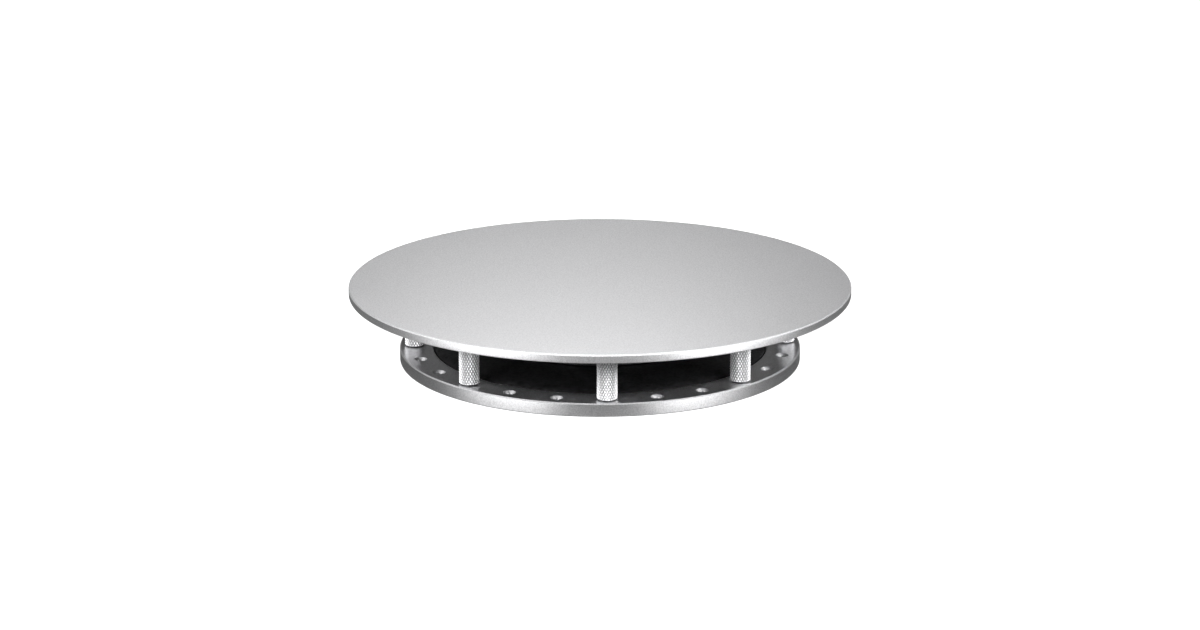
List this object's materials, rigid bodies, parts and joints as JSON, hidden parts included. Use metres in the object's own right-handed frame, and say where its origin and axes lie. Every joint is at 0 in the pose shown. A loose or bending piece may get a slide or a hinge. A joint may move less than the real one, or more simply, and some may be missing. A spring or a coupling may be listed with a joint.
{
  "type": "turning stand-off disc fitting",
  "caption": "Flat aluminium disc that turns on a low drilled ring with knurled screw-in posts, for fixing to a wall or ceiling.",
  "frame": {"origin": "centre of the back, in the plane of the ring's underside", "axes": "+Z along the pivot, from the back to the cover's face; -Y is the front, towards post 1; +X to the right"},
  "size_m": [0.15, 0.15, 0.023],
  "materials": {
    "satin_aluminium": "bead-blasted, clear anodised",
    "bright_aluminium": "knurled, clear anodised",
    "black_steel": "blackened steel, matt",
    "plain_steel": "zinc-plated",
    "magnet_nickel": "nickel-plated neodymium",
    "white_nylon": "natural nylon"
  },
  "bodies": {
    "base": {"base_ring": "satin_aluminium", "mounting_plate": "black_steel", "pivot_pin": "plain_steel", "pivot_screw": "plain_steel", "bush_clip": "plain_steel", "lip_screw_1": "plain_steel", "lip_screw_2": "plain_steel", "lip_screw_3": "plain_steel", "lip_screw_4": "plain_steel"},
    "swivel": {"swivel_bush": "white_nylon"},
    "cover": {"hub": "satin_aluminium", "cover_disc": "satin_aluminium", "hub_screw_1": "plain_steel", "hub_screw_2": "plain_steel", "hub_screw_3": "plain_steel", "magnet_1": "magnet_nickel", "magnet_2": "magnet_nickel", "magnet_3": "magnet_nickel", "magnet_4": "magnet_nickel", "magnet_5": "magnet_nickel", "magnet_6": "magnet_nickel"},
    "post_1": {"knurled_post_1": "bright_aluminium", "post_stud_1": "plain_steel"},
    "post_2": {"knurled_post_2": "bright_aluminium", "post_stud_2": "plain_steel"},
    "post_3": {"knurled_post_3": "bright_aluminium", "post_stud_3": "plain_steel"},
    "post_4": {"knurled_post_4": "bright_aluminium", "post_stud_4": "plain_steel"},
    "post_5": {"knurled_post_5": "bright_aluminium", "post_stud_5": "plain_steel"},
    "post_6": {"knurled_post_6": "bright_aluminium", "post_stud_6": "plain_steel"},
    "post_7": {"knurled_post_7": "bright_aluminium", "post_stud_7": "plain_steel"},
    "post_8": {"knurled_post_8": "bright_aluminium", "post_stud_8": "plain_steel"}
  },
  "joints": [
    {"name": "cover_turn", "type": "hinge", "parent": "base", "child": "swivel", "pos_m": [0, 0, 0.01], "axis": [0, 0, 1], "continuous": true},
    {"name": "cover_lift", "type": "slide", "parent": "swivel", "child": "cover", "axis": [0, 0, 1], "range_m": [0, 0.03]},
    {"name": "post_1_turn", "type": "hinge", "parent": "base", "child": "post_1", "pos_m": [0, -0.0555, 0.01], "axis": [0, 0, 1], "range_deg": [0, 180]},
    {"name": "post_2_turn", "type": "hinge", "parent": "base", "child": "post_2", "pos_m": [0.03924, -0.03924, 0.01], "axis": [0, 0, 1], "range_deg": [0, 180]},
    {"name": "post_3_turn", "type": "hinge", "parent": "base", "child": "post_3", "pos_m": [0.0555, 0, 0.01], "axis": [0, 0, 1], "range_deg": [0, 180]},
    {"name": "post_4_turn", "type": "hinge", "parent": "base", "child": "post_4", "pos_m": [0.03924, 0.03924, 0.01], "axis": [0, 0, 1], "range_deg": [0, 180]},
    {"name": "post_5_turn", "type": "hinge", "parent": "base", "child": "post_5", "pos_m": [0, 0.0555, 0.01], "axis": [0, 0, 1], "range_deg": [0, 180]},
    {"name": "post_6_turn", "type": "hinge", "parent": "base", "child": "post_6", "pos_m": [-0.03924, 0.03924, 0.01], "axis": [0, 0, 1], "range_deg": [0, 180]},
    {"name": "post_7_turn", "type": "hinge", "parent": "base", "child": "post_7", "pos_m": [-0.0555, 0, 0.01], "axis": [0, 0, 1], "range_deg": [0, 180]},
    {"name": "post_8_turn", "type": "hinge", "parent": "base", "child": "post_8", "pos_m": [-0.03924, -0.03924, 0.01], "axis": [0, 0, 1], "range_deg": [0, 180]}
  ]
}
